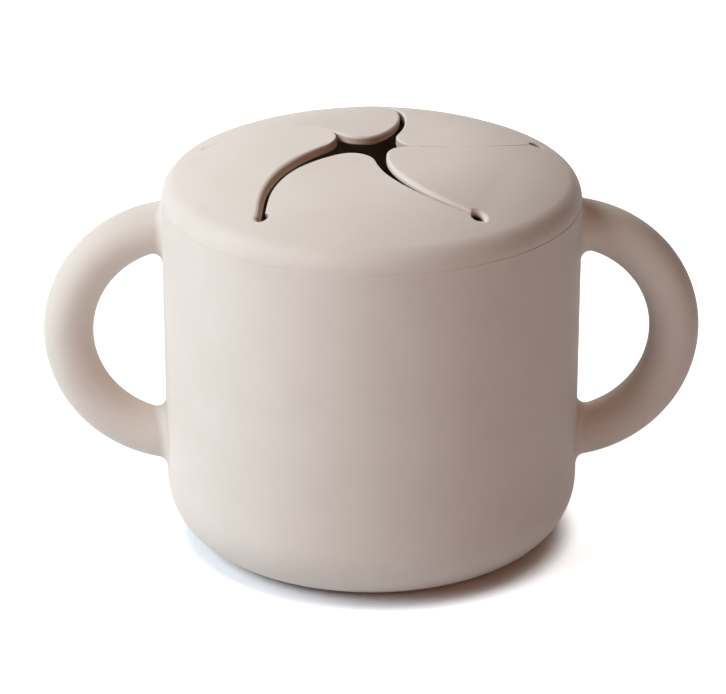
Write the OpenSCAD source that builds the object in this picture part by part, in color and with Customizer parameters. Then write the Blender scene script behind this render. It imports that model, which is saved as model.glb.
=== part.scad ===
// Toddler snack container: a soft silicone cup with two loop handles, and a domed lid
// whose top is cut into five curved flaps that a small hand pushes through.
// +Z is up, the handles lie along X, and the origin is the middle of the foot.

/* [Cup] */
// Outside diameter at the rim
cup_d = 89; // [80:0.5:100]
// Height from foot to rim
cup_h = 76.4; // [66:0.2:95]
// How much smaller the wall's radius is at the foot than at the rim
cup_taper = 0.4; // [0:0.1:2]
// Radius of the rounded edge between wall and foot
foot_round = 14; // [9:0.5:17]
// Thickness of the wall
wall = 3; // [2.2:0.1:4]
// Thickness of the floor around the recess
floor_t = 4; // [3:0.1:6]
// Diameter of the shallow recess under the floor
recess_d = 44; // [30:1:50]
// Depth of the recess
recess_depth = 0.8; // [0.4:0.1:1.4]
// Small rounding of the edges where cup and lid meet
seam_round = 0.3; // [0.1:0.05:0.4]

/* [Handles] */
// Radius of each loop, to the middle of the grip
loop_r = 24; // [20:0.5:27]
// Thickness of the round grip
grip_d = 10.8; // [8:0.2:13]
// Width over both handles
span = 140; // [130:1:150]
// Height of the loops' centres above the foot
loop_z = 46.7; // [42:0.5:50]
// Fillet where the grip grows out of the wall
root_fillet = 2; // [1:0.5:4]

/* [Lid] */
// Height of the lid above the cup's rim
lid_h = 11.5; // [10:0.1:14]
// Thickness of the lid's top and of the flaps
lid_t = 2; // [1.4:0.1:2.6]
// How far the lid's edge stands proud of the cup's wall (negative is set in)
lid_proud = -0.1; // [-0.3:0.05:0.5]
// Radius of the nearly flat middle of the dome
dome_r = 420; // [300:10:600]
// Radius of the sloping shoulder around it
shoulder_r = 60; // [40:1:70]
// Radius of the lid's outer edge
edge_round = 5.3; // [4:0.1:6]
// Straight lip under the rounded edge
lip_h = 0.4; // [0.4:0.1:1]

/* [Plug] */
// Depth of the skirt that plugs into the cup's mouth
plug_h = 9; // [6:0.5:14]
// Thickness of the skirt
plug_t = 1.45; // [1.2:0.05:2]
// Gap between the skirt and the cup's bore
plug_gap = 0.45; // [0.3:0.05:0.8]
// Gap between the sealing ribs and the bore
rib_gap = 0.08; // [0.05:0.01:0.2]
// Radius of each rounded sealing rib
rib_round = 0.7; // [0.5:0.05:0.9]
// Number of sealing ribs
rib_count = 2; // [1:1:3]

/* [Flaps] */
// Width of the slits between the flaps, before they widen towards the middle
slit_w = 0.6; // [0.3:0.05:0.8]
// Distance from the lid's middle to the stop hole at each slit's outer end
stop_r = 37.4; // [35:0.1:38]
// Diameter of the stop holes
stop_d = 2.9; // [2:0.1:3.4]
// Straight outer run of each slit
slit_run = 5.2; // [4:0.2:8]
// Angle between that run and the line to the lid's middle
slit_lean = 32; // [29:0.5:33]
// Radius of each flap's bulging edge, along the slit's curved inner run
bulge_r = 23; // [22:0.5:24]
// Radius of the hollow edge that faces it on the next flap
hollow_edge_r = 27; // [26:0.5:28]
// Radius of the rounded flap tips
tip_round = 4.9; // [3.5:0.1:5.5]
// Width of the thin strip on which each flap bends
hinge_w = 3; // [2.6:0.1:3.2]
// Tip lift left in the front flap by use, in degrees (negative is sunk)
set_front = -1.5; // [-5:0.5:8]
// Tip lift left in the right flap
set_right = 3; // [-5:0.5:8]
// Tip lift left in the back right flap
set_back_right = 1; // [-5:0.5:8]
// Tip lift left in the back left flap
set_back_left = 1.5; // [-5:0.5:8]
// Tip lift left in the left flap
set_left = 4; // [-5:0.5:8]

/* [Hidden] */
$fn = 96;
silicone = [0.85, 0.81, 0.78];
silicone_thin = [0.80, 0.75, 0.72];

// Cutting shapes run this far past what they cut
past = 1;
// Facets of the large dome circle, of which only a small arc is used
dome_fn = 720;
// Step of the grid on which the borders between the lid's arcs lie
border_grid = 0.001;

// Cup
cup_r = cup_d / 2;
foot_r = cup_r - cup_taper;
bore_r = cup_r - wall;
taper_angle = atan(cup_taper / cup_h);
inner_round = foot_round - wall;
bore_depth = plug_h + past;
recess_edge = 0.4;

// Handles
loop_x = span / 2 - grip_d / 2 - loop_r;
// How deep the fillet's edge lies in the grip
fillet_bite = 0.12;

// Lid
flap_count = 5;
sector = 360 / flap_count;
lid_r = cup_r + lid_proud;
lid_top = cup_h + lid_h;
plug_r = bore_r - plug_gap;
hollow_r = plug_r - plug_t;
plug_z = cup_h - plug_h;
rib_out = plug_gap - rib_gap;

// The dome, the shoulder and the edge are three arcs, each tangent to the next
dome_c = [0, lid_top - dome_r];
edge_c = [lid_r - edge_round, cup_h + lip_h];
shoulder_c = arcs_meet(dome_c, dome_r - shoulder_r, edge_c, shoulder_r - edge_round);

// Slits, each in a frame whose x axis runs through its own stop hole
run_heading = 180 + slit_lean;
run_end = [stop_r, 0] + slit_run * heading(run_heading);
half_slit = slit_w / 2 * heading(run_heading - 90);
bulge_c = run_end + half_slit + bulge_r * heading(run_heading - 90);
hollow_c = turned(run_end - half_slit + hollow_edge_r * heading(run_heading - 90), sector);
tip_c = arcs_meet(bulge_c, bulge_r - tip_round, hollow_c, hollow_edge_r + tip_round);

// Hinges: each flap bends about the line between its two stop holes
hinge_r = stop_r * cos(sector / 2);
hinge_rise = 0.1;
hinge_z = surface_z(stop_r) + hinge_rise;
frame_corner = (hinge_r + hinge_w / 2) / cos(sector / 2);
bend_points = 14;
tip_points = 10;

function heading(a) = [cos(a), sin(a)];
function turned(p, a) = [p.x * cos(a) - p.y * sin(a), p.x * sin(a) + p.y * cos(a)];
function along(p, q, d) = p + (q - p) * d / norm(q - p);

// Where two circles meet, on the left of the line from the first centre to the second
function arcs_meet(p, rp, q, rq) =
    let (d = norm(q - p), u = (q - p) / d, a = (rp * rp - rq * rq + d * d) / (2 * d))
    p + a * u + sqrt(rp * rp - a * a) * [-u.y, u.x];

// Radius at which the dome runs into the shoulder, and the shoulder into the edge, at inset t.
// It lies on a fine grid, so that the areas on its two sides share one border exactly.
function on_grid(v) = round(v / border_grid) * border_grid;
function shoulder_start(t) = on_grid(along(dome_c, shoulder_c, dome_r - t).x);
function edge_start(t) = on_grid(along(shoulder_c, edge_c, shoulder_r - t).x);
function surface_z(r) = shoulder_c.y + sqrt(pow(shoulder_r, 2) - pow(r - shoulder_c.x, 2));

// Points on an arc about c, the short way round from the direction of p to that of q
function arc(c, r, p, q, n) =
    let (a = atan2(p.y - c.y, p.x - c.x), b = atan2(q.y - c.y, q.x - c.x))
    let (sweep = (b - a + 540) % 360 - 180)
    [for (i = [0 : n]) c + r * heading(a + sweep * i / n)];

// One flap's outline in plan: out of one stop hole, round the tip and into the next one
function flap_outline() = concat(
    [frame_corner * heading(0)],
    [[stop_r, 0] + half_slit],
    arc(bulge_c, bulge_r, run_end + half_slit, tip_c, bend_points),
    arc(tip_c, tip_round, 2 * tip_c - bulge_c, hollow_c, tip_points),
    arc(hollow_c, hollow_edge_r, tip_c, turned(run_end - half_slit, sector), bend_points),
    [turned([stop_r, 0] - half_slit, sector)],
    [frame_corner * heading(sector)]);

// What a square corner at p loses when it is rounded; its solid lies on the side of sx, sy
module corner_waste(p, r, sx, sy) {
    translate(p) difference() {
        translate([sx < 0 ? -r : -past, sy < 0 ? -r : -past]) square(r + past);
        translate([sx * r, sy * r]) circle(r);
    }
}

// Section of a cup wall with a rounded foot: radius r at the rim's height, foot at z
module cup_section(r, r_foot, z, round_r, lean) {
    touch = [r_foot - round_r + round_r * cos(lean), z + round_r - round_r * sin(lean)];
    translate([r_foot - round_r, z + round_r]) circle(round_r);
    polygon([[0, z], [r_foot - round_r, z], touch, [r, cup_h], [0, cup_h]]);
}

module outer_section() {
    intersection() {
        cup_section(cup_r, foot_r, 0, foot_round, taper_angle);
        square([cup_r, cup_h]);
    }
}

// All that the handles stop at: the cup as if it were solid, and everything above its rim
module handle_stop() {
    rotate_extrude() {
        outer_section();
        translate([0, cup_h]) square([span, lid_h]);
    }
}

module cup_shell() {
    color(silicone) rotate_extrude() difference() {
        outer_section();
        intersection() {
            union() {
                cup_section(bore_r, foot_r - wall, floor_t, inner_round, taper_angle);
                translate([0, cup_h - bore_depth]) square([bore_r, bore_depth + past]);
            }
            square([bore_r, cup_h + past]);
        }
        translate([0, -past]) square([recess_d / 2 - recess_edge, past + recess_depth]);
        polygon([[0, 0], [0, -past], [recess_d / 2 + past, -past],
                 [recess_d / 2, 0], [recess_d / 2 - recess_edge, recess_depth]]);
        corner_waste([cup_r, cup_h], seam_round, -1, -1);
        corner_waste([bore_r, cup_h], seam_round, 1, -1);
    }
}

// The collar that fillets a grip into the wall: a trumpet whose wide end is at z = 0.
// Its fillet bites into the grip, so that the two surfaces cross cleanly all round.
module root_collar() {
    collar_r = grip_d / 2 + root_fillet - fillet_bite;
    rotate_extrude() difference() {
        translate([0, -root_fillet]) square([collar_r, 2 * root_fillet]);
        translate([collar_r, root_fillet]) circle(root_fillet);
    }
}

// A round grip that grows out of the wall on the side of sx, and ends below the rim
module handle(sx) {
    wall_x = sqrt(pow(cup_r, 2) - pow(grip_d / 2, 2));
    root_angle = acos((wall_x - loop_x) / loop_r);
    mid_fillet_angle = root_angle - root_fillet / 2 / loop_r * 180 / PI;
    color(silicone) mirror([sx < 0 ? 1 : 0, 0, 0]) difference() {
        translate([loop_x, 0, loop_z]) rotate([90, 0, 0]) {
            rotate([0, 0, -90]) rotate_extrude(angle = 180)
                translate([loop_r, 0]) circle(grip_d / 2);
            for (end = [-1, 1])
                rotate([0, 0, end * mid_fillet_angle]) translate([loop_r, 0, 0])
                    rotate([end * 90, 0, 0]) translate([0, 0, -root_fillet / 2]) root_collar();
        }
        handle_stop();
    }
}
module handle_left() { handle(-1); }
module handle_right() { handle(1); }

// Section of everything under the lid's surface, set in by t, from height z up
module under_dome(t, z) {
    a = shoulder_start(t);
    b = edge_start(t);
    intersection() {
        translate(dome_c) circle(dome_r - t, $fn = dome_fn);
        translate([0, z]) square([a, lid_top]);
    }
    intersection() {
        translate(shoulder_c) circle(shoulder_r - t, $fn = dome_fn);
        translate([a, z]) square([b - a, lid_top]);
    }
    intersection() {
        translate(edge_c) circle(edge_round - t);
        translate([b, edge_c.y]) square([lid_r, lid_top]);
    }
    translate([b, z]) square([lid_r - t - b, max(edge_c.y - z, 0)]);
}

// The lid's skin: its outer surface and the same surface set in by the lid's thickness
module lid_skin() {
    rotate_extrude() difference() {
        under_dome(0, cup_h);
        intersection() {
            under_dome(lid_t, cup_h - past);
            translate([0, cup_h - past]) square([hollow_r, lid_top]);
        }
        corner_waste([lid_r, cup_h], seam_round, -1, 1);
    }
}

module plug_skirt() {
    rotate_extrude() {
        translate([hollow_r, plug_z + plug_t / 2]) square([plug_t, plug_h - plug_t / 2]);
        translate([hollow_r + plug_t / 2, plug_z + plug_t / 2]) circle(plug_t / 2);
        for (i = [1 : rib_count])
            translate([plug_r + rib_out - rib_round, plug_z + i * plug_h / (rib_count + 1)])
                circle(rib_round);
    }
}

// The five-sided opening that the flaps and their hinges fill, its corners at the stop holes
module flap_opening() {
    rotate(90) translate([0, 0, cup_h - past])
        cylinder(r = frame_corner, h = lid_h + 2 * past, $fn = flap_count);
}

module stop_holes() {
    for (k = [0 : flap_count - 1])
        rotate(90 + k * sector) translate([stop_r, 0, cup_h - past])
            cylinder(d = stop_d, h = lid_h + 2 * past);
}

module lid_rim() {
    color(silicone) {
        difference() {
            union() {
                lid_skin();
                plug_skirt();
            }
            flap_opening();
            stop_holes();
        }
    }
}

// One flap's share of the lid's top, number k counted counter-clockwise from the back
module share(k) {
    rotate(90 + k * sector) translate([0, 0, cup_h - past])
        linear_extrude(lid_h + 2 * past) polygon(flap_outline());
}

// Turns its children about flap k's hinge by lift degrees, tip up
module lifted(k, lift) {
    mid = 90 + (k + 0.5) * sector;
    rotate(mid) translate([hinge_r, 0, hinge_z]) rotate([0, lift, 0])
        translate([-hinge_r, 0, -hinge_z]) rotate(-mid) children();
}

// All that lies on the flap's side of the line where flap k begins
module flap_side(k) {
    rotate(90 + (k + 0.5) * sector) translate([-lid_r, -lid_r, cup_h - past])
        cube([lid_r + hinge_r - hinge_w / 2, 2 * lid_r, lid_h + 2 * past + lid_t]);
}

module flap(k, lift) {
    color(silicone) lifted(k, lift) difference() {
        intersection() {
            lid_skin();
            share(k);
            flap_side(k);
        }
        stop_holes();
    }
}

module hinge_strip(k, lift) {
    color(silicone_thin) difference() {
        intersection() {
            lid_skin();
            share(k);
        }
        lifted(k, lift) flap_side(k);
        stop_holes();
    }
}

module flap_back_left() { flap(0, set_back_left); }
module flap_left() { flap(1, set_left); }
module flap_front() { flap(2, set_front); }
module flap_right() { flap(3, set_right); }
module flap_back_right() { flap(4, set_back_right); }
module hinge_back_left() { hinge_strip(0, set_back_left); }
module hinge_left() { hinge_strip(1, set_left); }
module hinge_front() { hinge_strip(2, set_front); }
module hinge_right() { hinge_strip(3, set_right); }
module hinge_back_right() { hinge_strip(4, set_back_right); }

cup_shell();
handle_left();
handle_right();
lid_rim();
flap_front();
flap_right();
flap_back_right();
flap_back_left();
flap_left();
hinge_front();
hinge_right();
hinge_back_right();
hinge_back_left();
hinge_left();
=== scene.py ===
"""Toddler snack container: a soft silicone cup with two loop handles and a slit push-through lid."""
import bpy
from collections import namedtuple
from math import acos, asin, atan, atan2, cos, degrees, hypot, pi, radians, sin, sqrt, tan
import numpy as np
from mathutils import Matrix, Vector
from mathutils.geometry import delaunay_2d_cdt


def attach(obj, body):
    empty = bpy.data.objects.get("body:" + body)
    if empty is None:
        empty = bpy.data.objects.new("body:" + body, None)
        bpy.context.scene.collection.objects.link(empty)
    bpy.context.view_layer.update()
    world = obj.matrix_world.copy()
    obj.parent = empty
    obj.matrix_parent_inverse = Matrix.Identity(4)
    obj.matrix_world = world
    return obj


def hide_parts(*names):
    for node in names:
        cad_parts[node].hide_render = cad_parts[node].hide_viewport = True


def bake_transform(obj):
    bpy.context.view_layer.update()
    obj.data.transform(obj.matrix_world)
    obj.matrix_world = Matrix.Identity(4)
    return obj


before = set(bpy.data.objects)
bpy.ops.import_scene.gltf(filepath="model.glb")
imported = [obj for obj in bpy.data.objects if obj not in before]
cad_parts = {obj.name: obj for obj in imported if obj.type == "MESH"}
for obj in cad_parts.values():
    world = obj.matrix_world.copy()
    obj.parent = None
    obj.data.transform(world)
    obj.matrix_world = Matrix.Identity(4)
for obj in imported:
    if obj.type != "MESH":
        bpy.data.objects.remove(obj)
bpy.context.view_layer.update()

MM = 0.001

# Cup, in millimetres
CUP_R = 44.5
CUP_H = 76.4
TAPER = 0.4
FOOT_ROUND = 14
WALL = 3
FLOOR = 4
RECESS_R = 22
RECESS_DEPTH = 0.8
RECESS_LEAN = 0.4
RECESS_ROUND = 0.25
FOOT_LINE_ROUND = 0.2
RIM_ROUND = 0.06

# Handles, in millimetres. A root lies between two angles round the loop, is filleted into the wall,
# and goes on a little way inside it.
HALF_SPAN = 70
LOOP_R = 24.26
LOOP_Z = 46.4
GRIP_R = 5.31
LOOP_X = HALF_SPAN - GRIP_R - LOOP_R
ROOT_ANGLES = (30, 125)
ROOT_FILLET = 2
LEAST_FILLET = 0.25
RIM_CLEAR = 76.0
ROOT_DEPTHS = (0.04, 1.5)

# Lid, in millimetres
LID_TOP = 87.9
LID_R = 44.4
LID_T = 2
DOME_R = 420
SHOULDER_R = 60
SHOULDER_OUT = 41.0
EDGE_ROUND = 5.3
LIP_H = 0.4
LIP_ROUND = 0.03
PLUG_R = 41.05
HOLLOW_R = 39.6
PLUG_Z = 67.4
RIB_ROUND = 0.7
RIB_OUT = 0.37
RIB_HEIGHTS = (73.4, 70.4)

# Slits. Each starts at a stop hole of a radius, which lies at an angle and a distance from the lid's
# middle, and runs in straight, at its lean from the line to the middle. Then it bends: the flap
# after it bulges along it with one radius, the flap before it is hollow with the other. Angles are
# in degrees and lengths in millimetres. The holes were laid out evenly on a circle, from the back
# round to the left, and each lies a little off its place.
SECTOR = 72
STOP_R = 37.4
SLIT_RUN = 4.87
Slit = namedtuple("Slit", "hole angle distance lean bulge hollow")
SLITS = (Slit(1.45, 90.2, 37.17, 33.5, 24.5, 29.0), Slit(0.4, 161.9, 37.58, 31.1, 22.4, 25.1),
         Slit(1.45, 231.3, 37.13, 32.9, 24.1, 29.2), Slit(1.45, 305.2, 36.66, 32.4, 22.1, 27.7),
         Slit(1.5, 379.0, 37.29, 31.5, 24.1, 25.7))

# Flaps. Flap k lies between slits k and k + 1. Each of its two edges has a gap to the middle of its
# slit, a soft rounding, and a slant by which the cut runs outwards to the bottom. Its tip has a
# radius and a soft rounding of its own. Use has left it lifted by some degrees, and by so many
# millimetres at its tip curled up, twisted, pulled out and slid along.
Edge = namedtuple("Edge", "gap soft slant")
Flap = namedtuple("Flap", "name near tip soft far use")
Use = namedtuple("Use", "lift curl twist pull slide")
FLAPS = (Flap("back_left", Edge(0.17, 0.5, 0.0), 4.96, 0.55, Edge(0.14, 0.1, 0.0),
              Use(6.05, -1.85, 1.67, -0.48, 0.56)),
         Flap("left", Edge(0.14, 0.1, 0.0), 4.95, 0.25, Edge(1.16, 0.6, 0.9),
              Use(1.35, 1.17, -0.65, -0.58, -0.79)),
         Flap("front", Edge(0.61, 0.3, 0.0), 5.70, 0.35, Edge(0.28, 0.3, 0.0),
              Use(-3.20, 2.03, 0.40, -0.84, 0.91)),
         Flap("right", Edge(0.19, 0.95, 0.0), 5.00, 0.6, Edge(0.05, 0.12, 0.0),
              Use(2.75, -0.86, -0.69, -0.03, -0.38)),
         Flap("back_right", Edge(0.11, 0.12, 0.0), 5.12, 0.45, Edge(0.14, 0.4, 0.0),
              Use(1.71, -0.07, 0.36, -0.93, -0.46)))
# From a flap's hinge line to its tip, and from its middle to its side
FLAP_REACH = 30
FLAP_HALF = 20
# How far along a free edge, from 0 to 1, the near edge ends, the tip begins and ends, and the far
# edge begins
EDGE_MARKS = (0.36, 0.48, 0.56, 0.68)
# The hinge line runs from hole to hole, and the strip that bends lies along it
HINGE_R = STOP_R * cos(radians(SECTOR / 2))
HINGE_W = 3
ROOT_R = 2.6

# Fineness of the meshes: steps round the cup and a soft edge, and triangle sides in millimetres
TURN_STEPS = 256
SOFT_STEPS = 5
FLAP_GRID = 0.9
RING_GRID = 1.2
NORMAL_STEP = 0.02

# Colours of the silicone, pale and deep, and the sizes in metres of what mottles and dents it
SKIN_TONES = ("#D9CEC5", "#D5CAC0")
# The cut faces' tones are darker and browner than the skin's: painted shade of the narrow slits
CUT_PAINTED_SHADE_TONES = ("#C4B0A2", "#BAA493")
CLOUD = 0.012
BLOOM = 0.0025
BLOOM_SHARE = 0.35
WAVE = 0.009
PIT = 0.0004

# Studio. The lamps stand round the cup's middle at one distance, and have one height. Angles are in
# degrees, lengths in metres and powers in watts.
FLOOR_HALF = 6.0
FLOOR_LIFT = 0.84
# How far the ambient occlusion that paints the floor's contact shadow looks, in metres
CONTACT_REACH = 0.010
CUP_MIDDLE = Vector((0, 0, 0.04))
LAMP_REACH = 1.3
LAMP_HEIGHT = 0.7
Lamp = namedtuple("Lamp", "name azimuth rise width watts colour")
LAMPS = (Lamp("key", -72.5, 37.5, 1.15, 21.0, (0.872, 0.956, 1.0)),
         Lamp("back", 180, 40, 0.7, 5.9, (1.0, 0.915, 0.858)),
         Lamp("fill", 18, 27, 0.7, 2.45, (1.0, 0.44, 0.22)))
DAYLIGHT = 0.002


# ---------------------------------------------------------------- plan geometry

def heading(angle):
    """The direction at an angle, in degrees."""
    return np.array([cos(radians(angle)), sin(radians(angle))])


def arcs_meet(p, rp, q, rq):
    """Where two circles meet, on the left of the line from the first centre to the second."""
    p, q = np.asarray(p, float), np.asarray(q, float)
    d = np.linalg.norm(q - p)
    u = (q - p) / d
    a = (rp * rp - rq * rq + d * d) / (2 * d)
    return p + a * u + sqrt(rp * rp - a * a) * np.array([-u[1], u[0]])


def arc(centre, radius, first, last, steps):
    """Points on an arc from one angle to another, in degrees."""
    return [centre + radius * heading(first + (last - first) * i / steps) for i in range(steps + 1)]


def short_arc(centre, radius, first, last, steps):
    """Points on an arc, the short way round from the direction of one point to another's."""
    a = degrees(atan2(first[1] - centre[1], first[0] - centre[0]))
    b = degrees(atan2(last[1] - centre[1], last[0] - centre[0]))
    return arc(centre, radius, a, a + (b - a + 540) % 360 - 180, steps)


def straight(first, last, steps):
    """Points between two ends, without the ends."""
    return [first + (last - first) * i / steps for i in range(1, steps)]


# ---------------------------------------------------------------- the lid's surface

DOME_C = np.array([0, LID_TOP - DOME_R])
EDGE_C = np.array([LID_R - EDGE_ROUND, CUP_H + LIP_H])
SHOULDER_C = arcs_meet(DOME_C, DOME_R - SHOULDER_R, EDGE_C, SHOULDER_R - EDGE_ROUND)


def along(p, q, d):
    """The point at a distance from one point on the line to another."""
    return p + (q - p) * d / np.linalg.norm(q - p)


SHOULDER_START = along(DOME_C, SHOULDER_C, DOME_R)[0]
EDGE_START = along(SHOULDER_C, EDGE_C, SHOULDER_R)[0]


def lid_height(r):
    """Height of the lid's surface at a radius: a flat dome, a shoulder and a round edge."""
    r = np.asarray(r, float)
    dome = DOME_C[1] + np.sqrt(DOME_R ** 2 - r ** 2)
    shoulder = SHOULDER_C[1] + np.sqrt(SHOULDER_R ** 2 - (r - SHOULDER_C[0]) ** 2)
    edge = EDGE_C[1] + np.sqrt(np.maximum(EDGE_ROUND ** 2 - (r - EDGE_C[0]) ** 2, 0))
    return np.where(r < SHOULDER_START, dome, np.where(r < EDGE_START, shoulder, edge))


def hinge_ramp(s):
    """Distance past the hinge line, eased in over the hinge strip's width."""
    t = np.clip(s / HINGE_W + 0.5, 0, 1)
    return np.where(s < HINGE_W / 2, HINGE_W * (t ** 3 - t ** 4 / 2), s)


def hole_angle(k):
    """Angle of slit k's stop hole round the lid; slit 5 is slit 0 again, one turn on."""
    return SLITS[k % 5].angle + 360 * (k // 5)


def settled(k, x, y):
    """Where plan points of the moulded lid lie: on flap k as use has left it, or on the ring (None)."""
    z = lid_height(np.hypot(x, y))
    if k is None:
        return np.stack([x, y, z], 1)
    use = FLAPS[k].use
    mid = heading((hole_angle(k) + hole_angle(k + 1)) / 2)
    side = (-mid[1], mid[0])
    reach = hinge_ramp(HINGE_R - (x * mid[0] + y * mid[1]))
    share = reach / FLAP_REACH
    across = (x * side[0] + y * side[1]) / FLAP_HALF
    z = z + tan(radians(use.lift)) * reach + use.curl * share ** 2 + use.twist * across * share
    return np.stack([x + share * (use.pull * mid[0] + use.slide * side[0]),
                     y + share * (use.pull * mid[1] + use.slide * side[1]), z], 1)


def skin(k, plan, depth):
    """Points at a depth under the lid's surface over plan points, and the surface's normals."""
    plan = np.asarray(plan, float)
    x, y = plan[:, 0], plan[:, 1]
    normals = np.cross(settled(k, x + NORMAL_STEP, y) - settled(k, x - NORMAL_STEP, y),
                       settled(k, x, y + NORMAL_STEP) - settled(k, x, y - NORMAL_STEP))
    normals /= np.linalg.norm(normals, axis=1)[:, None]
    return settled(k, x, y) - np.reshape(depth, (-1, 1)) * normals, normals


# ---------------------------------------------------------------- meshes

def put_in_scene(name, data):
    """Puts a mesh, a curve, a lamp or a camera in the scene."""
    thing = bpy.data.objects.new(name, data)
    bpy.context.scene.collection.objects.link(thing)
    return thing


class Shell:
    """A closed skin collected patch by patch, with a normal for every corner."""

    def __init__(self):
        self.points = []
        self.faces = []
        self.normals = []
        self.finishes = []

    def add(self, points):
        """Adds points and gives their numbers."""
        first = len(self.points)
        self.points.extend(tuple(p) for p in points)
        return list(range(first, len(self.points)))

    def face(self, ids, normals=None, finish=0):
        """Adds a face; without normals it is shaded flat. The finish is its material's number."""
        if normals is None:
            a, b, c = (np.array(self.points[i]) for i in ids[:3])
            n = np.cross(b - a, c - a)
            n = n / (np.linalg.norm(n) or 1)
            normals = [n] * len(ids)
        self.faces.append(tuple(ids))
        self.normals.extend(tuple(n) for n in normals)
        self.finishes.append(finish)

    def strip(self, a, b, na, nb, loop=True, finish=0):
        """Adds quads between two rings, or open lines, of the same count."""
        count = len(a)
        for i in range(count if loop else count - 1):
            j = (i + 1) % count
            if na is None:
                self.face((a[i], a[j], b[j], b[i]), None, finish)
            else:
                self.face((a[i], a[j], b[j], b[i]), (na[i], na[j], nb[j], nb[i]), finish)

    def patch(self, ids, normals, triangles, up):
        """Adds triangles that face up, or down."""
        for t in triangles:
            t = t if up else t[::-1]
            self.face([ids[i] for i in t], [normals[i] for i in t])

    def build(self, name, *materials):
        """Makes the piece; the points are in millimetres."""
        mesh = bpy.data.meshes.new(name)
        mesh.from_pydata([tuple(c * MM for c in p) for p in self.points], [], self.faces)
        mesh.shade_smooth()
        mesh.polygons.foreach_set("material_index", self.finishes)
        mesh.normals_split_custom_set(self.normals)
        for material in materials:
            mesh.materials.append(material)
        return put_in_scene(name, mesh)


def inside(points, outline):
    """Which points lie inside a closed outline."""
    outline = np.asarray(outline)
    x, y = points[:, 0], points[:, 1]
    hits = np.zeros(len(points), bool)
    for (ax, ay), (bx, by) in zip(outline, np.roll(outline, -1, 0)):
        if ay == by:
            continue
        crosses = (ay > y) != (by > y)
        hits ^= crosses & (x < (bx - ax) * (y - ay) / (by - ay) + ax)
    return hits


def within(points, loops):
    """Which points lie inside the first outline and outside the others."""
    hits = inside(points, loops[0])
    for loop in loops[1:]:
        hits &= ~inside(points, loop)
    return hits


def fill(loops, spacing):
    """Fills the plan area inside a closed outline, and outside the others, with triangles.

    Gives all its points, those of the outlines first, and the triangles, counter-clockwise."""
    row_step = 0.866 * spacing
    clearance = 0.55 * spacing
    least_area = 1e-9
    edge = np.concatenate(loops)
    low, high = edge.min(0), edge.max(0)
    grid = []
    for row, y in enumerate(np.arange(low[1], high[1], row_step)):
        shift = spacing / 2 if row % 2 else 0
        for x in np.arange(low[0] + shift, high[0], spacing):
            grid.append((x, y))
    grid = np.array(grid)
    grid = grid[within(grid, loops)]
    clear = np.array([np.min(np.hypot(*(edge - g).T)) > clearance for g in grid], bool)
    points = np.concatenate([edge, grid[clear]])
    sides = []
    first = 0
    for loop in loops:
        sides += [(first + i, first + (i + 1) % len(loop)) for i in range(len(loop))]
        first += len(loop)
    found = delaunay_2d_cdt([Vector(p) for p in points], sides, [], 0, 1e-6)
    source = [ids[0] for ids in found[3]]
    triangles = [[source[i] for i in face] for face in found[2]]
    centres = np.array([points[t].mean(0) for t in triangles])
    good = []
    for t, ok in zip(triangles, within(centres, loops)):
        a, b, c = points[t]
        area = (b[0] - a[0]) * (c[1] - a[1]) - (b[1] - a[1]) * (c[0] - a[0])
        if ok and abs(area) > least_area:
            good.append(t if area > 0 else t[::-1])
    return points, good


# ---------------------------------------------------------------- materials

def hex_colour(text):
    """An sRGB hex colour as the linear colour that the shader takes."""
    parts = [int(text[i:i + 2], 16) / 255 for i in (1, 3, 5)]
    return tuple(c / 12.92 if c <= 0.04045 else ((c + 0.055) / 1.055) ** 2.4 for c in parts) + (1,)


def add_node(tree, kind, settings=None, links=None):
    """Adds a node; settings are its properties or inputs, links are its inputs' sources."""
    node = tree.nodes.new(kind)
    for key, value in (settings or {}).items():
        if isinstance(key, str) and hasattr(node, key):
            setattr(node, key, value)
        else:
            node.inputs[key].default_value = value
    for key, source in (links or {}).items():
        tree.links.new(source, node.inputs[key])
    return node


def empty_tree(owner):
    """The cleared node tree of a material or a world."""
    owner.use_nodes = True
    owner.node_tree.nodes.clear()
    return owner.node_tree


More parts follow.
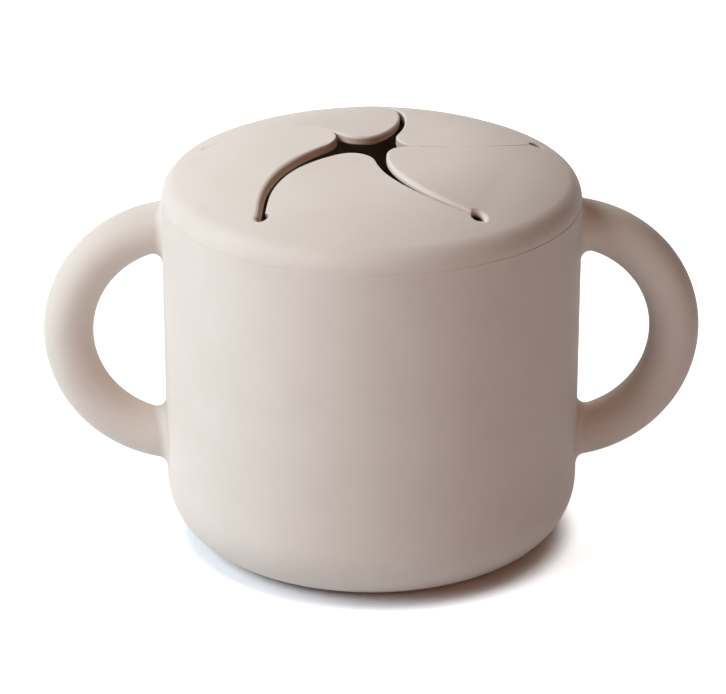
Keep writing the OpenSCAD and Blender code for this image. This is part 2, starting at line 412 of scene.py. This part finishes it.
def silicone(name, tones, roughness):
    """Platinum silicone with a pale and a deep tone: matt, with a faint bloom on it and fine pits."""
    material = bpy.data.materials.new(name)
    tree = empty_tree(material)
    place = add_node(tree, "ShaderNodeTexCoord").outputs["Object"]
    # The pigment lies in faint clouds, and handling has left a bloom of fine dust in small patches
    clouds = add_node(tree, "ShaderNodeTexNoise", {"Scale": 1 / CLOUD, "Detail": 3.0}, {"Vector": place})
    bloom = add_node(tree, "ShaderNodeTexNoise", {"Scale": 1 / BLOOM, "Detail": 4.0}, {"Vector": place})
    mixed = add_node(tree, "ShaderNodeMath", {"operation": "MULTIPLY_ADD", 1: BLOOM_SHARE},
                     {0: bloom.outputs["Fac"], 2: clouds.outputs["Fac"]})
    spread = add_node(tree, "ShaderNodeMapRange",
                      {"From Min": 0.45, "From Max": 0.9, "To Min": 0.0, "To Max": 1.0},
                      {"Value": mixed.outputs[0]})
    pale, deep = (hex_colour(tone) for tone in tones)
    tint = add_node(tree, "ShaderNodeMix", {"data_type": "RGBA", "A": deep, "B": pale},
                    {"Factor": spread.outputs["Result"]})
    rough = add_node(tree, "ShaderNodeMapRange",
                     {"From Min": 0.3, "From Max": 0.7, "To Min": roughness - 0.05,
                      "To Max": roughness + 0.05}, {"Value": bloom.outputs["Fac"]})
    # The blasted mould leaves pits of about 0.1 mm, drawn here at 0.4 mm so that they show at all
    pits = add_node(tree, "ShaderNodeTexNoise", {"Scale": 1 / PIT, "Detail": 2.0}, {"Vector": place})
    # A soft wall isn't quite even: slow, shallow waves bend the light on it a little
    waves = add_node(tree, "ShaderNodeTexNoise", {"Scale": 1 / WAVE, "Detail": 1.0}, {"Vector": place})
    soft = add_node(tree, "ShaderNodeBump", {"Strength": 0.12, "Distance": 0.0002},
                    {"Height": waves.outputs["Fac"]})
    fine = add_node(tree, "ShaderNodeBump", {"Strength": 0.12, "Distance": 0.00005},
                    {"Height": pits.outputs["Fac"], "Normal": soft.outputs["Normal"]})
    shader = add_node(tree, "ShaderNodeBsdfPrincipled",
                      {"IOR": 1.41, "Specular IOR Level": 0.35},
                      {"Base Color": tint.outputs["Result"], "Roughness": rough.outputs["Result"],
                       "Normal": fine.outputs["Normal"]})
    add_node(tree, "ShaderNodeOutputMaterial", links={"Surface": shader.outputs[0]})
    return material


# The blasted mould leaves both mouldings a warm beige, matt, with wide soft highlights
CUP_SILICONE = silicone("silicone_cup_matt_moulded", SKIN_TONES, 0.62)
LID_SILICONE = silicone("silicone_lid_matt_moulded", SKIN_TONES, 0.62)
# The faces that the slitting knife leaves look duller than the skin; their darker, browner tone is painted
# shade of the narrow slits
CUT_SILICONE_PAINTED_SHADE = silicone("silicone_lid_cut_painted_shade", CUT_PAINTED_SHADE_TONES, 0.7)


# ---------------------------------------------------------------- the cup

def soft_corners(corners, steps=6, guard=0.4):
    """A section line through corner points (r, z, rounding), with each corner rounded.

    A guard point beside each rounding keeps the shading of the long runs straight."""
    line = [np.array(corners[0][:2], float)]
    for before, here, after in zip(corners, corners[1:], corners[2:]):
        p, r = np.array(here[:2], float), here[2]
        u = np.array(before[:2], float) - p
        v = np.array(after[:2], float) - p
        u /= np.linalg.norm(u)
        v /= np.linalg.norm(v)
        half = acos(max(-1, min(1, float(u @ v)))) / 2
        reach = r / tan(half)
        centre = p + (u + v) / np.linalg.norm(u + v) * r / sin(half)
        line.append(p + u * (reach + guard))
        line += short_arc(centre, r, p + u * reach, p + v * reach, steps)
        line.append(p + v * (reach + guard))
    line.append(np.array(corners[-1][:2], float))
    return line


def lathe_tree():
    """Turns a section curve, drawn beside a guide circle, once round the upright axis."""
    tree = bpy.data.node_groups.new("turned_wall", "GeometryNodeTree")
    for name, kind in (("Section", "Geometry"), ("Turn Steps", "Int"), ("Guide Radius", "Float"),
                       ("Weld", "Float"), ("Finish", "Material")):
        tree.interface.new_socket(name, in_out="INPUT", socket_type="NodeSocket" + kind)
    tree.interface.new_socket("Wall", in_out="OUTPUT", socket_type="NodeSocketGeometry")
    given = add_node(tree, "NodeGroupInput").outputs
    guide = add_node(tree, "GeometryNodeCurvePrimitiveCircle", None,
                     {"Resolution": given["Turn Steps"], "Radius": given["Guide Radius"]})
    turn = add_node(tree, "GeometryNodeCurveToMesh", None,
                    {"Curve": guide.outputs["Curve"], "Profile Curve": given["Section"]})
    weld = add_node(tree, "GeometryNodeMergeByDistance", None,
                    {"Geometry": turn.outputs["Mesh"], "Distance": given["Weld"]})
    smooth = add_node(tree, "GeometryNodeSetShadeSmooth", None, {"Geometry": weld.outputs["Geometry"]})
    real = add_node(tree, "GeometryNodeRealizeInstances", None, {"Geometry": smooth.outputs["Geometry"]})
    finish = add_node(tree, "GeometryNodeSetMaterial", None,
                      {"Geometry": real.outputs["Geometry"], "Material": given["Finish"]})
    add_node(tree, "NodeGroupOutput", None, {"Wall": finish.outputs["Geometry"]})
    return tree


def turned_piece(name, section, material):
    """A closed wall turned from a section (r, z) in millimetres by the lathe tree, kept as a mesh."""
    guide = 20.0
    weld = 0.002
    # The lathe stands the section on its head, so the heights go in negative
    curve = bpy.data.curves.new(name, "CURVE")
    curve.dimensions = "3D"
    spline = curve.splines.new("POLY")
    spline.points.add(len(section) - 1)
    for point, (r, z) in zip(spline.points, section[::-1]):
        point.co = ((r - guide) * MM, -z * MM, 0, 1)
    source = put_in_scene(name + "_section", curve)
    tree = lathe_tree()
    modifier = source.modifiers.new("turn", "NODES")
    modifier.node_group = tree
    values = {"Turn Steps": TURN_STEPS, "Guide Radius": guide * MM, "Weld": weld * MM, "Finish": material}
    for item in tree.interface.items_tree:
        if item.in_out == "INPUT" and item.name in values:
            modifier[item.identifier] = values[item.name]
    shown = source.evaluated_get(bpy.context.evaluated_depsgraph_get())
    mesh = bpy.data.meshes.new_from_object(shown)
    mesh.name = name
    bpy.data.objects.remove(source)
    return put_in_scene(name, mesh)


def cup_wall():
    """The cup without its handles: foot, recess, wall, rim and bore."""
    foot_r = CUP_R - TAPER
    lean = degrees(atan(TAPER / CUP_H))
    foot_c = np.array([foot_r - FOOT_ROUND, FOOT_ROUND])
    inner_round = FOOT_ROUND - WALL
    inner_c = np.array([foot_r - FOOT_ROUND, FLOOR + inner_round])
    section = soft_corners([(0, RECESS_DEPTH, 0),
                            (RECESS_R - RECESS_LEAN, RECESS_DEPTH, RECESS_ROUND),
                            (RECESS_R, 0, FOOT_LINE_ROUND), (foot_c[0], 0, 0)], guard=0.2)
    section += arc(foot_c, FOOT_ROUND, -90, -lean, 40)
    rim = soft_corners([tuple(section[-1]) + (0,), (CUP_R, CUP_H, RIM_ROUND),
                        (CUP_R - WALL, CUP_H, RIM_ROUND),
                        tuple(inner_c + inner_round * heading(-lean)) + (0,)])
    section += rim[1:-1]
    section += arc(inner_c, inner_round, -lean, -90, 32)
    section.append(np.array([0, FLOOR]))
    piece = turned_piece("cup_wall", section, CUP_SILICONE)
    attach(piece, "cup")
    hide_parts("cup_shell")
    return piece


def cup_radius(z):
    """Radius of the cup's straight wall at a height."""
    return CUP_R - TAPER * (1 - z / CUP_H)


def loop_point(theta, phi, m):
    """A point on the right loop at angle theta round the loop and phi round a grip of radius m."""
    reach = LOOP_R + m * cos(phi)
    return np.array([LOOP_X + reach * cos(theta), m * sin(phi), LOOP_Z + reach * sin(theta)])


def loop_normal(theta, phi):
    """The way out of the grip at a point on it."""
    return np.array([cos(phi) * cos(theta), sin(phi), cos(phi) * sin(theta)])


def root_angle(phi, m, gap, side):
    """Loop angle at which a line on the grip, swelled to m, comes within gap of the wall."""
    low, high = (radians(angle) for angle in ROOT_ANGLES)
    for _ in range(40):
        middle = (low + high) / 2
        p = loop_point(side * middle, phi, m)
        if hypot(p[0], p[1]) > cup_radius(p[2]) + gap:
            low = middle
        else:
            high = middle
    return side * low


def root_fillet(phi, side):
    """Fillet radius round a root: it shrinks at the top, where the rim leaves no room."""
    if side < 0:
        return ROOT_FILLET
    low, high = LEAST_FILLET, ROOT_FILLET
    for _ in range(30):
        r = (low + high) / 2
        theta = root_angle(phi, GRIP_R + r, r, side)
        if loop_point(theta, phi, GRIP_R + r)[2] > RIM_CLEAR:
            high = r
        else:
            low = r
    return low


def fillet_rings(radii, thetas, phis, steps):
    """Rings of points and normals from the grip round a root's rolled fillet to the wall."""
    rings = []
    for i in range(1, steps + 1):
        t = i / steps
        points, normals = [], []
        for phi, r, theta in zip(phis, radii, thetas):
            centre = loop_point(theta, phi, GRIP_R + r)
            out = loop_normal(theta, phi)
            rho = hypot(centre[0], centre[1])
            wall = np.array([centre[0] / rho, centre[1] / rho, -TAPER / CUP_H])
            wall /= np.linalg.norm(wall)
            angle = acos(max(-1, min(1, float(out @ wall))))
            n = (out * sin((1 - t) * angle) + wall * sin(t * angle)) / sin(angle)
            points.append(centre - r * n)
            normals.append(n)
        rings.append((np.array(points), np.array(normals)))
    return rings


def grip_rings(top, bottom, phis, steps):
    """Rings of points and normals round the grip, from the top root to the bottom one."""
    rings = []
    for i in range(steps + 1):
        t = i / steps
        points, normals = [], []
        for phi, a, b in zip(phis, top, bottom):
            theta = a + (b - a) * t
            points.append(loop_point(theta, phi, GRIP_R))
            normals.append(loop_normal(theta, phi))
        rings.append((np.array(points), np.array(normals)))
    return rings


def buried_rings(ring):
    """A root's last ring again, sunk into the wall by each of the root depths."""
    points, normals = ring
    inward = points * np.array([1, 1, 0])
    inward /= np.linalg.norm(inward, axis=1)[:, None]
    return [(points - depth * inward, normals) for depth in ROOT_DEPTHS]


def handle(name, mirror):
    """One loop handle: a round grip that grows out of the wall through a rolled fillet."""
    around, length, roll = 72, 120, 10
    phis = [2 * pi * i / around for i in range(around)]
    ends = []
    for side in (1, -1):
        radii = np.array([root_fillet(phi, side) for phi in phis])
        # Ease the fillet in to where it shrinks below the rim
        for _ in range(4):
            radii = np.minimum(radii, (np.roll(radii, 1) + 2 * radii + np.roll(radii, -1)) / 4)
        thetas = [root_angle(phi, GRIP_R + r, r, side) for phi, r in zip(phis, radii)]
        ends.append((radii, thetas))
    rings = fillet_rings(*ends[0], phis, roll)[::-1]
    rings += grip_rings(ends[0][1], ends[1][1], phis, length)
    rings += fillet_rings(*ends[1], phis, roll)
    rings = buried_rings(rings[0])[::-1] + rings + buried_rings(rings[-1])

    # The left handle is the right one mirrored, with its faces turned outward again
    shell = Shell()
    flip = np.array([-1 if mirror else 1, 1, 1])
    ids = [shell.add(points * flip) for points, _ in rings]
    for i in range(len(rings) - 1):
        na, nb = rings[i][1] * flip, rings[i + 1][1] * flip
        if mirror:
            shell.strip(ids[i], ids[i + 1], na, nb)
        else:
            shell.strip(ids[i + 1], ids[i], nb, na)
    # Close both ends inside the wall
    for ring, first in ((0, True), (-1, False)):
        middle = shell.add([rings[ring][0].mean(0) * flip])[0]
        for i in range(around):
            j = (i + 1) % around
            tri = (ids[ring][i], ids[ring][j], middle)
            shell.face(tri if first != mirror else tri[::-1])
    piece = shell.build(name + "_grip", CUP_SILICONE)
    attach(piece, "cup")
    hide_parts(name)
    return piece


# ---------------------------------------------------------------- the lid

def slit(k):
    """Slit k's stop hole, the end of its straight run, its heading and the way to its right, to flap k."""
    hole = SLITS[k % 5].distance * heading(hole_angle(k))
    run = hole_angle(k) + 180 + SLITS[k % 5].lean
    return hole, hole + SLIT_RUN * heading(run), run, heading(run - 90)


def flap_edge(k, inset):
    """The free edge of flap k, set in by inset: out of its stop hole, round the tip, into the next."""
    form = FLAPS[k]
    hole, end, run, across = slit(k)
    next_hole, next_end, next_run, next_across = slit(k + 1)
    bulge_c = end + (form.near.gap + SLITS[k].bulge) * across
    hollow = SLITS[(k + 1) % 5].hollow
    hollow_c = next_end + (hollow - form.far.gap) * next_across
    tip_c = arcs_meet(bulge_c, SLITS[k].bulge - form.tip, hollow_c, hollow + form.tip)
    near = form.near.gap + inset
    far = form.far.gap + inset
    first, last = SLITS[k].hole + inset, SLITS[(k + 1) % 5].hole + inset
    points = arc(hole, first, hole_angle(k), run - degrees(asin(near / first)), 24)
    points += straight(points[-1], end + near * across, 6)
    # The tip's arc takes the edge smoothly from the bulge into the hollow
    points += short_arc(bulge_c, SLITS[k].bulge - inset, end, tip_c, 44)
    points += short_arc(tip_c, form.tip - inset, 2 * tip_c - bulge_c, hollow_c, 20)[1:]
    points += short_arc(hollow_c, hollow + inset, tip_c, next_end, 44)[1:]
    finish = arc(next_hole, last, next_run + degrees(asin(far / last)), hole_angle(k + 1) + 360, 18)
    points += straight(points[-1], finish[0], 6)
    return np.array(points + finish)


def edge_share(k, near, tip, far):
    """A value at each point of flap k's free edge, from the near edge's over the tip's to the far's."""
    count = len(flap_edge(k, 0))
    marks = np.array([0, *EDGE_MARKS, 1]) * (count - 1)
    return np.interp(np.arange(count), marks, (near, near, tip, tip, far, far))


def root_line(k):
    """The line where flap k's piece leaves the ring, round both its stop holes."""
    hole, next_hole = slit(k)[0], slit(k + 1)[0]
    middle = (hole_angle(k) + hole_angle(k + 1)) / 2
    first = arc(hole, ROOT_R, hole_angle(k), middle, 8)
    last = arc(next_hole, ROOT_R, middle, hole_angle(k + 1), 8)
    return np.array(first + straight(first[-1], last[0], 44) + last)


def outward_plan(points):
    """Directions across a line of points, to its left."""
    ahead = np.gradient(points, axis=0)
    ahead /= np.linalg.norm(ahead, axis=1)[:, None]
    return np.stack([-ahead[:, 1], ahead[:, 0], np.zeros(len(points))], 1)


def soft_edge(steps):
    """Inset, depth and tilt of each ring round a cut edge of softness 1, from the top to its middle."""
    return [(1 - cos(a), 1 - sin(a), a) for a in (pi / 2 * (steps - i) / steps for i in range(steps + 1))]


def cut_face(shell, k):
    """The softened face of the cut along flap k's free edge.

    Gives the plan line and point numbers of its first and last ring, and the ends of all rings."""
    near, far = FLAPS[k].near, FLAPS[k].far
    soft = edge_share(k, near.soft, FLAPS[k].soft, far.soft)
    slant = edge_share(k, near.slant, 0.0, far.slant)
    sharp = flap_edge(k, 0)
    inward = flap_edge(k, 1) - sharp
    rings = soft_edge(SOFT_STEPS)
    rings = [(inset * soft, depth * soft, tilt) for inset, depth, tilt in rings] \
        + [(inset * soft, LID_T - depth * soft, -tilt) for inset, depth, tilt in reversed(rings)]
    done = []
    previous = None
    for inset, depth, tilt in rings:
        plan = sharp + (inset - slant * depth / LID_T)[:, None] * inward
        points, up = skin(k, plan, depth)
        across = outward_plan(plan)
        across -= (across * up).sum(1)[:, None] * up
        across /= np.linalg.norm(across, axis=1)[:, None]
        lean = np.arctan(slant / LID_T) * cos(tilt)
        normals = up * np.sin(tilt + lean)[:, None] + across * np.cos(tilt + lean)[:, None]
        ids = shell.add(points)
        if previous is not None:
            # Between the upper and the lower rounding lies the bare face that the knife left; it takes the
            # cut material, whose darker tone is painted shade
            bare = 1 if tilt == -previous[2] else 0
            shell.strip(previous[0], ids, previous[1], normals, loop=False, finish=bare)
        previous = (ids, normals, tilt)
        done.append((plan, ids))
    return done[0], done[-1], [ids[0] for _, ids in done], [ids[-1] for _, ids in done]


def flap(k):
    """One flap with its hinge strip: two skins joined by the softened faces of the cut."""
    shell = Shell()
    root = root_line(k)
    top, bottom, first_ends, last_ends = cut_face(shell, k)
    sides = []
    for (plan, edge_ids), depth, is_top in ((top, 0, True), (bottom, LID_T, False)):
        leave = straight(plan[-1], root[-1], 3)
        join = straight(root[0], plan[0], 3)
        rest = np.array(leave + list(root[::-1]) + join)
        outline = np.concatenate([plan, rest])
        points, triangles = fill([outline], FLAP_GRID)
        extra, normals = skin(k, points, depth)
        ids = edge_ids + shell.add(extra[len(edge_ids):])
        shell.patch(ids, normals if is_top else -normals, triangles, is_top)
        outer = ids[len(plan):len(outline)]
        sides.append((outer[:len(leave)], outer[len(leave):len(leave) + len(root)], outer[-len(join):]))
    (top_leave, top_root, top_join), (low_leave, low_root, low_join) = sides
    shell.strip(top_root, low_root, None, None, loop=False)
    shell.face(top_leave + [top_root[0], low_root[0]] + low_leave[::-1] + last_ends[::-1])
    shell.face(first_ends + low_join[::-1] + [low_root[-1], top_root[-1]] + top_join)
    name = FLAPS[k].name
    piece = shell.build("soft_flap_" + name, LID_SILICONE, CUT_SILICONE_PAINTED_SHADE)
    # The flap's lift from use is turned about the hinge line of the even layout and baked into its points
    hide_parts("flap_" + name, "hinge_" + name)
    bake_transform(piece)
    return piece


def ring_section():
    """The ring's section from its shoulder round the edge, the seat and the plug to the hollow.

    A guard point beside each rib keeps the shading of the plug straight."""
    line = []
    guard = 0.1

    def bend(centre, radius, first, last, steps, bulge=1):
        """Adds an arc and its normals; with bulge -1 it is hollow."""
        for i in range(steps + 1):
            n = heading(first + (last - first) * i / steps)
            line.append((np.array(centre) + radius * n, bulge * n))

    shoulder = along(SHOULDER_C, EDGE_C, SHOULDER_R)
    meet = degrees(atan2(*(shoulder - SHOULDER_C)[::-1]))
    first = degrees(acos((SHOULDER_OUT - SHOULDER_C[0]) / SHOULDER_R))
    bend(SHOULDER_C, SHOULDER_R, first, meet, 4)
    line.pop()
    bend(EDGE_C, EDGE_ROUND, meet, 0, 22)
    bend((LID_R - LIP_ROUND, CUP_H + LIP_ROUND), LIP_ROUND, 0, -90, 6)
    bend((PLUG_R + LIP_ROUND, CUP_H - LIP_ROUND), LIP_ROUND, 90, 180, 5, -1)
    rib_c = PLUG_R + RIB_OUT - RIB_ROUND
    rise = degrees(acos((PLUG_R - rib_c) / RIB_ROUND))
    half_rib = RIB_ROUND * sin(radians(rise))
    for height in RIB_HEIGHTS:
        line.append((np.array([PLUG_R, height + half_rib + guard]), heading(0)))
        bend((rib_c, height), RIB_ROUND, rise, -rise, 10)
        line.append((np.array([PLUG_R, height - half_rib - guard]), heading(0)))
    half = (PLUG_R - HOLLOW_R) / 2
    bend((HOLLOW_R + half, PLUG_Z + half), half, 0, -180, 14)
    return line


def hollow_plan_radius():
    """Plan radius whose point under the lid's skin lies on the hollow's wall."""
    low, high = HOLLOW_R, HOLLOW_R + 2
    for _ in range(40):
        r = (low + high) / 2
        point = skin(None, [(r, 0)], LID_T)[0][0]
        if point[0] < HOLLOW_R:
            low = r
        else:
            high = r
    return low


def ring():
    """The lid's ring: shoulder, edge, seat, plug with its sealing ribs, and the flaps' opening."""
    shell = Shell()
    angles = [360 * i / TURN_STEPS for i in range(TURN_STEPS)]
    rounds = np.array([heading(a) for a in angles])
    opening = np.concatenate([root_line(k)[:-1] for k in range(5)])
    roots = []
    rims = []
    for radius, depth, up in ((SHOULDER_OUT, 0, True), (hollow_plan_radius(), LID_T, False)):
        points, triangles = fill([rounds * radius, opening], RING_GRID)
        body, normals = skin(None, points, depth)
        ids = shell.add(body)
        shell.patch(ids, normals if up else -normals, triangles, up)
        rims.append((ids[:TURN_STEPS], normals[:TURN_STEPS] * (1 if up else -1)))
        roots.append(ids[TURN_STEPS:TURN_STEPS + len(opening)])
    shell.strip(roots[0], roots[1], None, None)
    previous = rims[0]
    for (r, z), (nr, nz) in ring_section()[1:]:
        points = [(r * c, r * s, z) for c, s in rounds]
        normals = np.array([(nr * c, nr * s, nz) for c, s in rounds])
        ids = shell.add(points)
        shell.strip(ids, previous[0], normals, previous[1])
        previous = (ids, normals)
    inward = np.array([(-c, -s, 0) for c, s in rounds])
    shell.strip(rims[1][0], previous[0], inward, inward)
    piece = shell.build("lid_ring", LID_SILICONE)
    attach(piece, "lid")
    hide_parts("lid_rim")
    return piece


cup_wall()
handle("handle_right", False)
handle("handle_left", True)
ring()
for number in range(5):
    flap(number)


# ---------------------------------------------------------------- floor, light and camera

def seen_rays(tree):
    """1 where the eye sees a surface, straight, mirrored or through another, and 0 for its light."""
    rays = add_node(tree, "ShaderNodeLightPath").outputs
    seen = add_node(tree, "ShaderNodeMath", {"operation": "MAXIMUM"},
                    {0: rays["Is Camera Ray"], 1: rays["Is Glossy Ray"]})
    seen = add_node(tree, "ShaderNodeMath", {"operation": "MAXIMUM"},
                    {0: seen.outputs[0], 1: rays["Is Transmission Ray"]})
    return seen.outputs[0]


def backdrop():
    """A wide pale floor that reads as white paper, keeps the cup's soft shadow from the lamps, and has a
    painted contact shadow under the foot.
    """
    mesh = bpy.data.meshes.new("studio_floor")
    half = FLOOR_HALF
    mesh.from_pydata([(-half, -half, 0), (half, -half, 0), (half, half, 0), (-half, half, 0)], [],
                     [(0, 1, 2, 3)])
    floor = put_in_scene("studio_floor", mesh)
    material = bpy.data.materials.new("white_paper_floor")
    tree = empty_tree(material)
    paper = add_node(tree, "ShaderNodeBsdfDiffuse", {"Color": hex_colour("#E9ECF1")})
    seen = seen_rays(tree)
    # Light can't reach the paper close under the foot's round edge; there ambient occlusion fades the
    # paper's glow out, which paints a contact shadow
    near = add_node(tree, "ShaderNodeAmbientOcclusion", {"samples": 16, "Distance": CONTACT_REACH})
    lift_with_painted_shadow = add_node(tree, "ShaderNodeMapRange",
                       {"interpolation_type": "SMOOTHSTEP", "From Min": 0.3, "From Max": 0.75,
                        "To Min": 0.0, "To Max": FLOOR_LIFT}, {"Value": near.outputs["AO"]})
    lift = add_node(tree, "ShaderNodeMath", {"operation": "MULTIPLY"},
                    {0: seen, 1: lift_with_painted_shadow.outputs["Result"]})
    glow = add_node(tree, "ShaderNodeEmission", {"Color": (1, 1, 1, 1)}, {"Strength": lift.outputs[0]})
    both = add_node(tree, "ShaderNodeAddShader", None, {0: paper.outputs[0], 1: glow.outputs[0]})
    add_node(tree, "ShaderNodeOutputMaterial", links={"Surface": both.outputs[0]})
    mesh.materials.append(material)


def softbox(name, azimuth, rise, width, watts, colour):
    """A studio lamp aimed at the cup; azimuth 0 is the cup's front, and left is negative."""
    side = sin(radians(azimuth)) * cos(radians(rise))
    front = -cos(radians(azimuth)) * cos(radians(rise))
    place = CUP_MIDDLE + LAMP_REACH * Vector((side, front, sin(radians(rise))))
    lamp = bpy.data.lights.new(name, "AREA")
    lamp.shape = "RECTANGLE"
    lamp.size = width
    lamp.size_y = LAMP_HEIGHT
    lamp.energy = watts
    lamp.color = colour
    holder = put_in_scene(name, lamp)
    holder.location = place
    holder.rotation_euler = (CUP_MIDDLE - place).to_track_quat("-Z", "Y").to_euler()


def daylight(strength, colour):
    """Even light from all round, which the eye sees as a white background."""
    world = bpy.data.worlds.new("studio")
    bpy.context.scene.world = world
    tree = empty_tree(world)
    soft = add_node(tree, "ShaderNodeBackground", {"Color": hex_colour(colour), "Strength": strength})
    white = add_node(tree, "ShaderNodeBackground", {"Color": (1, 1, 1, 1), "Strength": 1.0})
    mix = add_node(tree, "ShaderNodeMixShader", None,
                   {0: seen_rays(tree), 1: soft.outputs[0], 2: white.outputs[0]})
    add_node(tree, "ShaderNodeOutputWorld", links={"Surface": mix.outputs[0]})


def camera():
    """A long lens in front of the cup that looks down on its lid."""
    data = bpy.data.cameras.new("camera")
    data.lens = 217.98
    data.sensor_width = 36
    data.clip_start = 0.05
    data.clip_end = 30
    holder = put_in_scene("camera", data)
    holder.location = (-0.0185, -0.8678, 0.4070)
    holder.rotation_euler = (radians(67.2), 0, radians(-1.1))
    bpy.context.scene.camera = holder


backdrop()
for lamp in LAMPS:
    softbox(*lamp)
daylight(DAYLIGHT, "#FFF6EE")
camera()
bpy.context.scene.view_settings.view_transform = "Standard"
